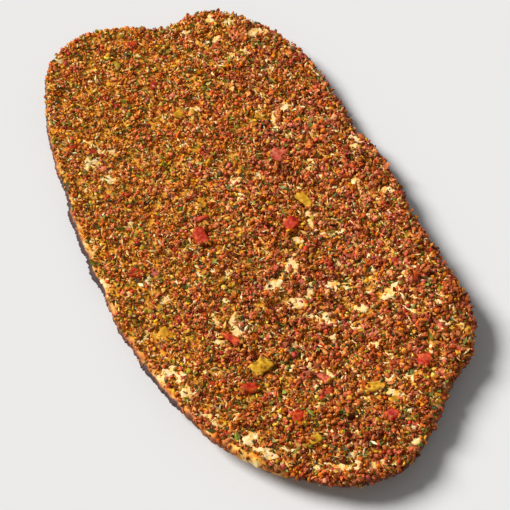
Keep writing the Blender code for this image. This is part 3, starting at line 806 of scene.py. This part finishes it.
def build_crumbs():
    finest, fine = ragged(-1, 0.45, 20, 500), ragged(0, 0.34, 14, 501)
    made = []

    def chosen(spacing, seed, low, slope, high, least=0.0, strays=0.0):
        x, y = spread(spacing, seed=seed)
        covered, heap = cover(x, y), heaped(x, y)
        chance = np.clip(covered * 1.15 - 0.15, 0.0, 1.0) * np.clip(low + slope * heap, 0.12, high)
        keep = (rng.uniform(0, 1, len(x)) < chance) & (covered >= least)
        keep |= (rng.uniform(0, 1, len(x)) < strays) & (covered <= 0.4) & (mince_inside(x, y) > -2.3)
        direction, share = polar(x, y)
        keep &= (1.0 - share) * reach_at(direction) > 0.25
        return x[keep], y[keep]

    def place_crumbs(x, y, mean, sd, least, most, low, high, flat, uneven=0.34, longer=1.2):
        rough = coarse(x, y)
        across = np.clip(np.exp(rng.normal(math.log(mean), sd, len(x))), least, most) * (0.86 + 0.20 * rough)
        z = np.maximum(core_top(x, y), dough_top(x, y)) + across * rng.uniform(low, high, len(x)) * (0.50 + 0.55 * rough)
        sizes = across[:, None] * uneven_sides(len(x), uneven) * np.array([longer, 0.95, flat])
        return np.stack([x, y, np.maximum(z, sizes.max(1) * 0.6)], 1), sizes

    # the finest, two layers
    for k, (spacing, low, slope, up, strays) in enumerate(((1.16, 0.62, 1.15, (0.1, 0.6), 0.15), (1.45, 0.34, 1.5, (0.7, 1.5), 0.0))):
        x, y = chosen(spacing, 31 + k, low, slope, 0.95, 0.0 if k == 0 else 0.7, strays)
        at, sizes = place_crumbs(x, y, 1.65, 0.25, 0.9, 2.9, *up, 0.95)
        made.append(
            gather(
                "mince_grit_%d" % (k + 1),
                [lay(finest, at, sizes, turned(len(x)), crumb_colours(x, y), 0.16)],
            )
        )
    # middling
    x, y = chosen(2.1, 33, 0.52, 1.2, 0.95)
    keep = rng.uniform(0, 1, len(x)) < 0.50 + 0.55 * coarse(x, y)
    x, y = x[keep], y[keep]
    at, sizes = place_crumbs(x, y, 2.05, 0.22, 1.4, 3.0, 0.20, 0.75, 0.9, 0.2, 1.1)
    made.append(gather("mince_crumbs", [lay(fine, at, sizes, turned(len(x), 1.1), crumb_colours(x, y), 0.20)], True))
    # crumbs hanging over the edge, least where the bare rim shows
    run = rng.uniform(0.0, 360.0, 1500)
    near = rng.uniform(-0.5, 1.9, len(run))
    x, y = place(run, 1.0 - near / reach_at(run))
    often = (0.35 + 0.8 * np.clip(grain(x, y, 5.0, 171) + 0.3, 0, 1)) * (0.15 + 0.85 * coarse(x, y))
    keep = (mince_inside(x, y) > -1.9 + 1.6 * (1.0 - coarse(x, y))) & (rng.uniform(0, 1, len(run)) < often)
    x, y = x[keep], y[keep]
    across = rng.uniform(1.1, 2.7, len(x))
    inner_x, inner_y = x - np.sign(x) * 1.2, y - np.sign(y) * 1.2
    z = dough_top(inner_x, inner_y) + across * rng.uniform(0.1, 0.45, len(x))
    sizes = across[:, None] * uneven_sides(len(x), 0.3)
    made.append(gather("edge_crumbs", [lay(fine, np.stack([x, y, z], 1), sizes, turned(len(x)), crumb_colours(x, y) * 0.8, 0.22)]))
    # crumbs baked together into knobby lumps
    x, y = chosen(4.0, 34, 0.55, 1.0, 0.95, 0.6)
    keep = rng.uniform(0, 1, len(x)) < 0.12 + 0.95 * coarse(x, y)
    x, y = x[keep], y[keep]
    at, sizes = place_crumbs(x, y, 3.1, 0.16, 2.4, 4.2, 0.12, 0.36, 0.85, 0.13, 1.1)
    made.append(gather("mince_lumps", [lay(knobby(12, 502), at, sizes, turned(len(x), 0.9), crumb_colours(x, y) * 0.97, 0.22)], True))
    return made


PARSLEY = (
    (2.6, 0.105, 0.090, 0.005), (2.2, 0.165, 0.140, 0.007), (1.2, 0.270, 0.235, 0.018),
    (0.3, 0.330, 0.330, 0.060), (1.5, 0.048, 0.038, 0.003),
)
TOMATO = (
    (2.0, 0.54, 0.050, 0.012), (2.0, 0.64, 0.100, 0.040), (1.6, 0.68, 0.150, 0.090),
    (0.9, 0.36, 0.020, 0.008), (1.2, 0.70, 0.170, 0.014), (0.8, 0.56, 0.085, 0.055),
)
PEPPER = (
    (1.8, 0.60, 0.330, 0.012), (1.0, 0.36, 0.240, 0.012), (1.6, 0.74, 0.360, 0.018),
    (0.6, 0.22, 0.190, 0.015), (1.0, 0.80, 0.500, 0.060),
)
SLIVERS = (
    (2.0, 0.94, 0.64, 0.25), (2.0, 0.90, 0.50, 0.11), (1.4, 0.86, 0.40, 0.05), (0.7, 0.96, 0.76, 0.42),
)
SEEN = (
    # kind, x, y, length, width, heading: smaller pieces that stand out
    ("red", -20.0, 18.0, 8.0, 3.0, 80.0), ("red", -1.0, 143.0, 7.0, 6.0, 20.0),
    ("red", -2.0, 112.0, 6.0, 5.0, 40.0), ("red", -25.0, -137.0, 6.0, 4.0, 70.0),
    ("red", -12.0, -133.0, 6.0, 5.0, 10.0), ("red", -8.0, -108.0, 6.0, 5.0, 30.0),
    ("pink", 29.0, -87.0, 6.0, 5.0, 60.0), ("red", 63.0, -56.0, 6.0, 5.0, 10.0),
    ("pink", -57.0, -2.0, 5.0, 5.0, 0.0), ("red", -66.0, 4.0, 7.0, 6.0, 30.0),
    ("red", -53.0, 86.0, 6.0, 4.5, -30.0), ("red", -62.0, 95.0, 5.5, 4.5, 50.0),
    ("pink", -53.0, 73.0, 5.0, 4.5, 0.0), ("red", 85.0, -20.0, 6.0, 4.0, 80.0),
    ("pink", -48.0, -85.0, 5.0, 4.0, 20.0), ("red", 20.0, 60.0, 4.5, 3.5, 20.0),
    ("yellow", 20.0, -127.0, 6.0, 4.0, 15.0), ("olive", -46.0, -94.0, 7.0, 5.0, 70.0),
    ("yellow", 0.0, 62.0, 10.0, 7.0, 30.0), ("yellow", -13.0, 28.0, 8.0, 7.0, 60.0),
    ("yellow", 2.0, 86.0, 6.0, 5.0, 0.0), ("yellow", 7.0, 81.0, 8.0, 5.0, 80.0),
    ("yellow", -68.0, -38.0, 8.0, 7.0, 20.0), ("yellow", 43.0, 62.0, 8.0, 3.0, 0.0),
    ("olive", -15.0, 134.0, 6.0, 5.0, 20.0), ("olive", 17.0, 135.0, 5.0, 4.0, 0.0),
    ("olive", 62.0, 83.0, 5.0, 5.0, 0.0), ("olive", -35.0, -127.0, 5.0, 5.0, 0.0),
    ("pink", 43.6, -52.4, 6.0, 3.0, 62.0), ("pink", 62.9, -102.3, 5.0, 4.0, 80.0),
    ("red", -65.7, -102.9, 5.0, 4.0, 70.0), ("red", -60.2, -75.5, 4.5, 4.0, 20.0),
)
LEAVES = (
    # x, y, length: the larger flecks of parsley
    (-61.9, -106.8, 6.0), (-59.7, -83.6, 4.4), (-21.8, -120.5, 5.0), (46.1, -31.5, 4.4),
    (70.5, -70.9, 4.4), (45.7, -84.2, 4.4), (17.8, -84.4, 4.4), (9.1, -96.5, 4.8),
    (7.1, -115.9, 4.6), (25.6, -139.9, 4.8), (29.0, -113.7, 5.2),
)
SEEN_COLOURS = {
    "red": (0.46, 0.024, 0.005), "pink": (0.58, 0.095, 0.060),
    "yellow": (0.68, 0.320, 0.010), "olive": (0.42, 0.250, 0.010),
}


def on_top(x, y, across, low, high):
    up = rng.uniform(low, high, len(x)) + 0.75 * coarse(x, y) * np.clip(cover(x, y), 0.0, 1.0)
    return np.maximum(core_top(x, y), dough_top(x, y)) + across * up


def some_places(spacing, share_kept, seed, least_cover=0.0, clump=None):
    x, y = spread(spacing, seed=seed)
    inside = mince_inside(x, y)
    chance = np.full(len(x), share_kept)
    if clump:
        chance = chance * np.clip(1.0 + clump[1] * fractal(x, y, clump[0], seed + 200, 2), 0.05, 3.0)
    keep = (rng.uniform(0, 1, len(x)) < chance) & (inside > -0.6) & (cover(x, y) >= least_cover)
    return x[keep], y[keep]


def flat_bits(name, kit, x, y, across, ratio, thick, low, high, tilt, palette, spread_=0.2, bend=0.0, smooth_shade=False, first=None):
    """Scraps lying on the mince; first holds rows of (x, y, length, width, heading, colour) laid as given."""
    n = len(x)
    z = on_top(x, y, np.full(n, 1.0), low, high)
    sizes = np.stack([across, across * rng.uniform(ratio[0], ratio[1], n), thick[0] + thick[1] * across], 1)
    turn, colours = turned(n, tilt), pick(palette, n, spread_)
    laid = [lay(kit, np.stack([x, y, z], 1), sizes, turn, colours, 0.16, bend)]
    if first:
        rows = np.array([row[:5] for row in first])
        # each lies where it is seen: a higher place shows farther back
        up = core_top(rows[:, 0], rows[:, 1]) - 4.0
        fx, fy = rows[:, 0] + 1.0 - 0.27 * up, rows[:, 1] + 3.0 - 0.51 * up
        a = np.radians(rows[:, 4])
        flat = np.zeros((len(rows), 3, 3))
        flat[:, 0, 0], flat[:, 0, 1], flat[:, 1, 0], flat[:, 1, 1], flat[:, 2, 2] = np.cos(a), -np.sin(a), np.sin(a), np.cos(a), 1.0
        fz = np.maximum(core_top(fx, fy), dough_top(fx, fy)) + 0.85
        wide = np.stack([rows[:, 2] * 1.2, rows[:, 3] * 1.2, np.full(len(rows), 1.9)], 1)
        flat = flat @ turned(len(rows), 0.30)
        n_, nv, at, faces, tint, square = lay(
            slabby(10, 611), np.stack([fx, fy, fz], 1), wide, flat, np.array([row[5] for row in first]), 0.06, bend
        )
        # see-through flesh: lighter and more orange in noise streaks, partly the flesh's own colour and partly a
        # painted glow of light through it
        light = np.clip(0.42 + 1.3 * fractal(at[:, 0], at[:, 1], 2.2, 613, 2), 0.0, 1.0)[:, None]
        tint = np.clip(tint * (1.0 - light) * 0.75 + light * (tint * np.where(tint[:, 1:2] > 0.2, np.array([[1.15, 1.08, 2.2]]), np.array([[1.30, 1.9, 1.6]])) + np.array([0.02, 0.02, 0.004])), 0.0, 0.95)
        laid.append((n_, nv, at, faces, tint, square))
    return gather(name, laid, smooth_shade)


def recolour(piece, factors):
    """Multiplies a piece's colours by what factors(x, y) gives at each point."""
    mesh = piece.data
    co = np.empty(len(mesh.vertices) * 3)
    mesh.vertices.foreach_get("co", co)
    co = co.reshape(-1, 3) / MM
    layer = mesh.color_attributes["tint"]
    rgba = np.empty(len(co) * 4, np.float32)
    layer.data.foreach_get("color", rgba)
    rgba = rgba.reshape(-1, 4)
    rgba[:, :3] *= factors(co[:, 0], co[:, 1])
    layer.data.foreach_set("color", rgba.ravel())


def build_bits():
    made = {}
    # parsley, chopped fine
    x, y = some_places(2.0, 0.36, 21, clump=(6.5, 2.6))
    across = np.clip(np.exp(rng.normal(math.log(2.0), 0.32, len(x))), 1.0, 4.8)
    seen = np.array(LEAVES)
    up = core_top(seen[:, 0], seen[:, 1]) - 4.0
    x, y = np.append(x, seen[:, 0] + 1.0 - 0.27 * up), np.append(y, seen[:, 1] + 3.0 - 0.51 * up)
    across = np.append(across, seen[:, 2])
    made["parsley"] = flat_bits(
        "parsley", ragged(-1, 0.50, 20, 601), x, y, across, (0.45, 0.95), (0.30, 0.16), 0.7, 1.8, 0.9,
        PARSLEY, 0.30, bend=0.30,
    )
    recolour(made["parsley"], lambda x, y: np.stack([0.98 - 0.16 * coarse(x, y), 0.96 + 0.12 * coarse(x, y), 1.0 + 0.8 * coarse(x, y)], 1))
    # tomato and red pepper
    x, y = some_places(3.5, 0.36, 22, clump=(13.0, 1.0))
    across = np.clip(np.exp(rng.normal(math.log(2.3), 0.30, len(x))), 1.4, 4.4)
    made["tomato_bits"] = flat_bits(
        "tomato_bits", ragged(0, 0.26, 12, 602), x, y, across, (0.50, 0.95), (0.30, 0.30), 0.6, 1.6, 0.7, TOMATO,
        first=[row[1:] + (SEEN_COLOURS[row[0]],) for row in SEEN if row[0] in ("red", "pink")], smooth_shade=True,
    )
    # green and yellow pepper
    x, y = some_places(4.4, 0.50, 23, clump=(15.0, 1.1))
    across = np.clip(np.exp(rng.normal(math.log(2.6), 0.32, len(x))), 1.5, 5.2)
    made["pepper_bits"] = flat_bits(
        "pepper_bits", ragged(0, 0.24, 12, 603), x, y, across, (0.40, 0.85), (0.30, 0.20), 0.5, 1.4, 0.6, PEPPER,
        bend=0.20, first=[row[1:] + (SEEN_COLOURS[row[0]],) for row in SEEN if row[0] in ("yellow", "olive")], smooth_shade=True,
    )
    # pale slivers of onion and torn dough, and small round pale dots that are painted highlights
    x, y = some_places(2.4, 0.44, 24, clump=(11.0, 1.0))
    keep = mince_inside(x, y) > 1.6
    x, y = x[keep], y[keep]
    across = np.clip(np.exp(rng.normal(math.log(3.0), 0.36, len(x))), 1.4, 5.4)
    # painted highlights: the round pale dots stand for small glints of light
    highlight_dots = rng.uniform(0, 1, len(x)) < 0.38
    narrow = np.where(highlight_dots, rng.uniform(0.65, 1.0, len(x)), rng.uniform(0.14, 0.34, len(x)))
    across = np.where(highlight_dots, np.clip(across * 0.52, 1.0, 1.9), across)
    z = on_top(x, y, np.full(len(x), 1.0), 0.7, 1.7)
    sizes = np.stack([across, across * narrow, np.where(highlight_dots, across * 0.7, 0.55 + 0.05 * across)], 1)
    made["pale_slivers"] = gather(
        "pale_slivers",
        [lay(ragged(-1, 0.36, 16, 604), np.stack([x, y, z], 1), sizes, turned(len(x), 0.5), pick(SLIVERS, len(x), 0.12), 0.10, 0.12)],
    )
    return made


def build_snug(dice):
    """Crumbs and herbs caught against and over the edges of the larger dice."""
    rows = []
    for name in sorted(dice):
        mesh = dice[name].data
        co = np.empty(len(mesh.vertices) * 3)
        mesh.vertices.foreach_get("co", co)
        co = co.reshape(-1, 3) / MM
        centre = co.mean(0)
        high = co[co[:, 2] > np.percentile(co[:, 2], 45)]
        out = np.hypot(*(high - centre)[:, :2].T)
        edge = high[out > np.percentile(out, 40)]
        rows.append(edge[rng.integers(0, len(edge), 30)] + rng.normal(0, 0.35, (30, 3)))
    for _, x, y, length, width, heading in SEEN:
        up = core_top(np.array([x]), np.array([y]))[0] - 4.0
        a = rng.uniform(0, 2 * np.pi, 9)
        turn = math.radians(heading)
        u, v = 0.52 * length * np.cos(a), 0.52 * width * np.sin(a)
        ex = x + 1.0 - 0.27 * up + u * math.cos(turn) - v * math.sin(turn)
        ey = y + 3.0 - 0.51 * up + u * math.sin(turn) + v * math.cos(turn)
        rows.append(np.stack([ex, ey, np.maximum(core_top(ex, ey), dough_top(ex, ey)) + 1.3], 1))
    at = np.concatenate(rows)
    n = len(at)
    sizes = rng.uniform(1.0, 2.3, (n, 1)) * uneven_sides(n, 0.25)
    colours = np.where(rng.uniform(0, 1, (n, 1)) < 0.25, pick(PARSLEY, n, 0.25), pick(MINCE_COLOURS, n, 0.2))
    return scatter("caught_crumbs", ragged(0, 0.42, 10, 605), at, sizes, turned(n), colours, speckle=0.2)


def build_dice():
    """The larger dice: each stands for its CAD node, with pulled faces and a wrinkled skin."""
    made = {}
    for name, node in sorted(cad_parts.items()):
        if name in ("dough", "meat_topping"):
            continue
        mesh = node.data.copy()
        mesh.name = name + "_cut"
        bm = bmesh.new()
        bm.from_mesh(mesh)
        bmesh.ops.remove_doubles(bm, verts=bm.verts[:], dist=1e-6)
        bmesh.ops.triangulate(bm, faces=bm.faces[:])
        bmesh.ops.subdivide_edges(bm, edges=bm.edges[:], cuts=3, use_grid_fill=True)
        for _ in range(4):
            bmesh.ops.smooth_vert(bm, verts=bm.verts[:], factor=0.5, use_axis_x=True, use_axis_y=True, use_axis_z=True)
        bm.normal_update()
        seed = sum(map(ord, name)) * 0.37
        for v in bm.verts:
            p = v.co / MM
            push = 1.05 * noise.noise(Vector((p.x / 3.4, p.y / 3.4, p.z / 3.4 + seed)))
            push += 0.34 * noise.noise(Vector((p.x / 1.3, p.y / 1.3, p.z / 1.3 + seed)))
            v.co = v.co + v.normal * ((push + 0.10) * MM)
        bm.to_mesh(mesh)
        bm.free()
        mesh.materials.clear()
        mesh.shade_smooth()
        piece = bpy.data.objects.new(name + "_cut", mesh)
        bpy.context.scene.collection.objects.link(piece)
        made[name] = piece
    return made


# -------------------------------------------------------------------- materials


def new_material(name):
    mat = bpy.data.materials.new(name)
    mat.use_nodes = True
    tree = mat.node_tree
    shader = tree.nodes["Principled BSDF"]
    return mat, tree, shader


def node(tree, kind, **settings):
    made = tree.nodes.new(kind)
    for key, value in settings.items():
        setattr(made, key, value)
    return made


def attribute(tree, name):
    return node(tree, "ShaderNodeAttribute", attribute_name=name)


def noise_node(tree, scale, detail=4.0, rough=0.55, coords=None):
    made = node(tree, "ShaderNodeTexNoise")
    made.inputs["Scale"].default_value = scale
    made.inputs["Detail"].default_value = detail
    made.inputs["Roughness"].default_value = rough
    if coords is not None:
        tree.links.new(coords, made.inputs["Vector"])
    return made


def ramp(tree, factor, stops):
    made = node(tree, "ShaderNodeValToRGB")
    ramp_ = made.color_ramp
    while len(ramp_.elements) < len(stops):
        ramp_.elements.new(0.5)
    for element, (at, colour) in zip(ramp_.elements, stops):
        element.position = at
        element.color = (*colour, 1.0) if len(colour) == 3 else colour
    tree.links.new(factor, made.inputs["Fac"])
    return made


def mix(tree, factor, a, b, blend="MIX"):
    made = node(tree, "ShaderNodeMix", data_type="RGBA", blend_type=blend)
    for socket, value in ((made.inputs[0], factor), (made.inputs[6], a), (made.inputs[7], b)):
        if isinstance(value, (int, float)):
            socket.default_value = value
        elif isinstance(value, tuple):
            socket.default_value = (*value, 1.0)
        else:
            tree.links.new(value, socket)
    return made.outputs[2]


def maths(tree, operation, a, b=0.0, clamp=False):
    made = node(tree, "ShaderNodeMath", operation=operation, use_clamp=clamp)
    for socket, value in zip(made.inputs, (a, b)):
        if isinstance(value, (int, float)):
            socket.default_value = value
        else:
            tree.links.new(value, socket)
    return made.outputs[0]


def bump(tree, height, strength, distance):
    made = node(tree, "ShaderNodeBump")
    made.inputs["Strength"].default_value = strength
    made.inputs["Distance"].default_value = distance
    tree.links.new(height, made.inputs["Height"])
    return made.outputs["Normal"]


def bread_material():
    mat, tree, shader = new_material("baked_bread")
    coords = node(tree, "ShaderNodeTexCoord").outputs["Object"]
    brown, burnt = attribute(tree, "brown").outputs["Fac"], attribute(tree, "burnt").outputs["Fac"]
    below, oil = attribute(tree, "below").outputs["Fac"], attribute(tree, "oil").outputs["Fac"]
    mottle = noise_node(tree, 210.0, 4.0, 0.6, coords).outputs["Fac"]
    fine = noise_node(tree, 900.0, 3.0, 0.6, coords).outputs["Fac"]
    large = noise_node(tree, 62.0, 3.0, 0.5, coords).outputs["Fac"]
    # crumb and crust
    pale = mix(tree, large, (0.98, 0.79, 0.46), (0.96, 0.68, 0.30))
    browned = maths(tree, "ADD", maths(tree, "MULTIPLY", brown, 0.95), maths(tree, "MULTIPLY", maths(tree, "SUBTRACT", mottle, 0.5), 1.1), clamp=True)
    crust = ramp(
        tree, browned,
        [(0.0, (0.97, 0.77, 0.43)), (0.30, (0.86, 0.53, 0.20)), (0.52, (0.60, 0.26, 0.075)), (0.75, (0.34, 0.115, 0.034)), (1.0, (0.14, 0.045, 0.022))],
    ).outputs["Color"]
    colour = mix(tree, maths(tree, "ADD", 0.45, browned, clamp=True), pale, crust)
    # oil from the mince stains it yellow and orange
    stain = ramp(
        tree, maths(tree, "ADD", oil, maths(tree, "MULTIPLY", maths(tree, "SUBTRACT", mottle, 0.5), 0.7), clamp=True),
        [(0.0, (1.0, 1.0, 1.0)), (0.22, (1.0, 0.90, 0.56)), (0.50, (1.0, 0.70, 0.22)), (1.0, (0.86, 0.38, 0.05))],
    ).outputs["Color"]
    colour = mix(tree, 1.0, colour, stain, "MULTIPLY")
    # the underside: floury, with oven spots
    spots = noise_node(tree, 95.0, 3.0, 0.55, coords).outputs["Fac"]
    under = ramp(
        tree, maths(tree, "ADD", spots, maths(tree, "MULTIPLY", brown, 0.34), clamp=True),
        [(0.0, (0.74, 0.58, 0.38)), (0.52, (0.68, 0.48, 0.27)), (0.66, (0.50, 0.24, 0.10)), (0.82, (0.30, 0.11, 0.045)), (0.97, (0.12, 0.045, 0.025))],
    ).outputs["Color"]
    colour = mix(tree, below, colour, under)
    # burnt edge, purple-brown to nearly black
    charred = maths(tree, "ADD", burnt, maths(tree, "MULTIPLY", maths(tree, "SUBTRACT", mottle, 0.5), 0.9), clamp=True)
    char_colour = ramp(
        tree, fine, [(0.25, (0.030, 0.018, 0.020)), (0.55, (0.075, 0.038, 0.036)), (0.80, (0.16, 0.075, 0.060))]
    ).outputs["Color"]
    how_far = ramp(tree, charred, [(0.34, (0.0, 0.0, 0.0)), (0.62, (1.0, 1.0, 1.0))]).outputs["Color"]
    colour = mix(tree, how_far, colour, char_colour)
    tree.links.new(colour, shader.inputs["Base Color"])
    rough = maths(tree, "SUBTRACT", 0.78, maths(tree, "MULTIPLY", oil, 0.38))
    tree.links.new(rough, shader.inputs["Roughness"])
    height = maths(tree, "ADD", maths(tree, "MULTIPLY", fine, 0.6), mottle)
    tree.links.new(bump(tree, height, 0.55, 0.0005), shader.inputs["Normal"])
    shader.inputs["Specular IOR Level"].default_value = 0.35
    return mat


def bed_material():
    mat, tree, shader = new_material("oily_mince_bed")
    coords = node(tree, "ShaderNodeTexCoord").outputs["Object"]
    soaked = attribute(tree, "soaked").outputs["Fac"]
    grit = noise_node(tree, 620.0, 4.0, 0.65, coords).outputs["Fac"]
    patch = noise_node(tree, 170.0, 3.0, 0.6, coords).outputs["Fac"]
    mince = ramp(
        tree, grit,
        [(0.30, (0.16, 0.040, 0.002)), (0.45, (0.42, 0.120, 0.005)), (0.58, (0.66, 0.220, 0.010)), (0.74, (0.80, 0.36, 0.03))],
    ).outputs["Color"]
    oil = ramp(
        tree, grit,
        [(0.30, (0.52, 0.160, 0.003)), (0.48, (0.84, 0.35, 0.010)), (0.68, (0.98, 0.62, 0.10))],
    ).outputs["Color"]
    share = maths(tree, "ADD", maths(tree, "MULTIPLY", soaked, 0.9), maths(tree, "MULTIPLY", maths(tree, "SUBTRACT", patch, 0.5), 1.4), clamp=True)
    colour = mix(tree, share, mince, oil)
    tree.links.new(colour, shader.inputs["Base Color"])
    rough = maths(tree, "ADD", 0.34, maths(tree, "MULTIPLY", grit, 0.30))
    tree.links.new(rough, shader.inputs["Roughness"])
    shader.inputs["Specular IOR Level"].default_value = 0.3
    tree.links.new(bump(tree, grit, 0.7, 0.0006), shader.inputs["Normal"])
    return mat


def bit_material(name, roughness, dark, light, scale, specular=0.5, coat=0.0):
    """A bit's own colour, marbled with its darker and lighter parts."""
    mat, tree, shader = new_material(name)
    coords = node(tree, "ShaderNodeTexCoord").outputs["Object"]
    tint = attribute(tree, "tint").outputs["Color"]
    marble = noise_node(tree, scale, 3.0, 0.6, coords).outputs["Fac"]
    shade = ramp(tree, marble, [(0.30, (dark,) * 3), (0.52, (1.0, 1.0, 1.0)), (0.72, (light,) * 3)]).outputs["Color"]
    tree.links.new(mix(tree, 1.0, tint, shade, "MULTIPLY"), shader.inputs["Base Color"])
    shader.inputs["Roughness"].default_value = roughness
    shader.inputs["Specular IOR Level"].default_value = specular
    shader.inputs["Coat Weight"].default_value = coat
    shader.inputs["Coat Roughness"].default_value = 0.2
    return mat


def dice_material(name, deep, main, light, roughness):
    """Wet, slightly see-through flesh: deep, main and light colours mixed by noise and small cells."""
    mat, tree, shader = new_material(name)
    coords = node(tree, "ShaderNodeTexCoord").outputs["Object"]
    marble = noise_node(tree, 290.0, 4.0, 0.6, coords).outputs["Fac"]
    cell = node(tree, "ShaderNodeTexVoronoi")
    cell.inputs["Scale"].default_value = 520.0
    tree.links.new(coords, cell.inputs["Vector"])
    blend = maths(tree, "ADD", maths(tree, "MULTIPLY", marble, 0.8), maths(tree, "MULTIPLY", cell.outputs["Distance"], 0.25), clamp=True)
    colour = ramp(tree, blend, [(0.34, deep), (0.50, main), (0.68, light)]).outputs["Color"]
    tree.links.new(colour, shader.inputs["Base Color"])
    rough = maths(tree, "ADD", roughness, maths(tree, "MULTIPLY", marble, 0.24))
    tree.links.new(rough, shader.inputs["Roughness"])
    tree.links.new(bump(tree, blend, 0.7, 0.0005), shader.inputs["Normal"])
    shader.inputs["Specular IOR Level"].default_value = 0.25
    return mat


def floor_material():
    mat, tree, shader = new_material("pale_floor")
    coords = node(tree, "ShaderNodeTexCoord").outputs["Object"]
    mottle = noise_node(tree, 6.0, 2.0, 0.5, coords).outputs["Fac"]
    colour = ramp(tree, mottle, [(0.0, (0.716, 0.716, 0.716)), (1.0, (0.728, 0.728, 0.728))]).outputs["Color"]
    tree.links.new(colour, shader.inputs["Base Color"])
    shader.inputs["Roughness"].default_value = 0.9
    shader.inputs["Specular IOR Level"].default_value = 0.1
    return mat


# -------------------------------------------------------------------- assembly


def put(piece, mat, slot, *nodes):
    piece.data.materials.clear()
    piece.data.materials.append(mat)
    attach(piece, "root")
    if nodes:
        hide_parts(*nodes)


put(build_dough(), bread_material(), "baked_dough", "dough")
put(build_core(), bed_material(), "spiced_mince", "meat_topping")
put(build_patches(), bread_material(), "baked_dough")
mince_mat = bit_material("cooked_mince", 0.55, 0.58, 1.34, 900.0, 0.18)
for crumbs in build_crumbs():
    put(crumbs, mince_mat, "spiced_mince")
bits = build_bits()
put(bits["parsley"], bit_material("chopped_parsley", 0.55, 0.6, 1.6, 1100.0, 0.22), "green_pepper")
put(bits["tomato_bits"], bit_material("chopped_tomato", 0.48, 0.7, 1.25, 500.0, 0.22), "tomato")
put(bits["pepper_bits"], bit_material("chopped_pepper", 0.48, 0.75, 1.25, 500.0, 0.22), "green_pepper")
# this material also colours the round pale dots, which are painted highlights
put(bits["pale_slivers"], bit_material("onion_dough_and_highlight_dots", 0.5, 0.8, 1.06, 600.0, 0.3), "baked_dough")

FLESH = {
    "tomato": ((0.20, 0.005, 0.002), (0.44, 0.016, 0.004), (0.66, 0.10, 0.012)),
    "red_pepper": ((0.30, 0.022, 0.012), (0.52, 0.070, 0.034), (0.70, 0.20, 0.08)),
    "green_pepper": ((0.26, 0.10, 0.004), (0.56, 0.27, 0.006), (0.82, 0.48, 0.035)),
}
flesh = {key: dice_material("diced_" + key, *value, 0.40) for key, value in FLESH.items()}
dice = build_dice()
for name, piece in dice.items():
    kind = name.rsplit("_", 1)[0]
    put(piece, flesh[kind], kind, name)
put(build_snug(dice), mince_mat, "spiced_mince")

# -------------------------------------------------------- floor, light and camera
floor_mesh = bpy.data.meshes.new("floor")
floor_mesh.from_pydata([(-6, -6, -0.0002), (6, -6, -0.0002), (6, 6, -0.0002), (-6, 6, -0.0002)], [], [(0, 1, 2, 3)])
floor = bpy.data.objects.new("floor", floor_mesh)
bpy.context.scene.collection.objects.link(floor)
floor_mesh.materials.append(floor_material())

world = bpy.data.worlds.new("studio")
bpy.context.scene.world = world
world.use_nodes = True
world.node_tree.nodes["Background"].inputs["Color"].default_value = (1.0, 1.0, 1.0, 1.0)
world.node_tree.nodes["Background"].inputs["Strength"].default_value = 0.23

sun_data = bpy.data.lights.new("softbox", "SUN")
sun_data.energy = 4.35
sun_data.angle = math.radians(26.0)
sun_data.color = (1.0, 0.99, 0.975)
sun = bpy.data.objects.new("softbox", sun_data)
bpy.context.scene.collection.objects.link(sun)
from_where = Vector((-0.64, 0.768, 0.90)).normalized()
sun.rotation_euler = from_where.to_track_quat("Z", "Y").to_euler()

AZ, EL, AWAY = math.radians(-28.0), math.radians(60.0), 0.90
TARGET = Vector((-0.0011, -0.0111, 0.0))
level = Vector((-math.sin(AZ), math.cos(AZ), 0.0))
forward = level * math.cos(EL) - Vector((0, 0, 1)) * math.sin(EL)
camera_data = bpy.data.cameras.new("camera")
camera_data.sensor_width = 36.0
camera_data.lens = 1632.5 / 510.0 * 36.0
camera_data.clip_start = 0.01
camera = bpy.data.objects.new("camera", camera_data)
camera.location = TARGET - forward * AWAY
camera.rotation_euler = forward.to_track_quat("-Z", "Y").to_euler()
bpy.context.scene.collection.objects.link(camera)
bpy.context.scene.camera = camera
bpy.context.scene.view_settings.view_transform = "Standard"
bpy.context.scene.view_settings.look = "None"
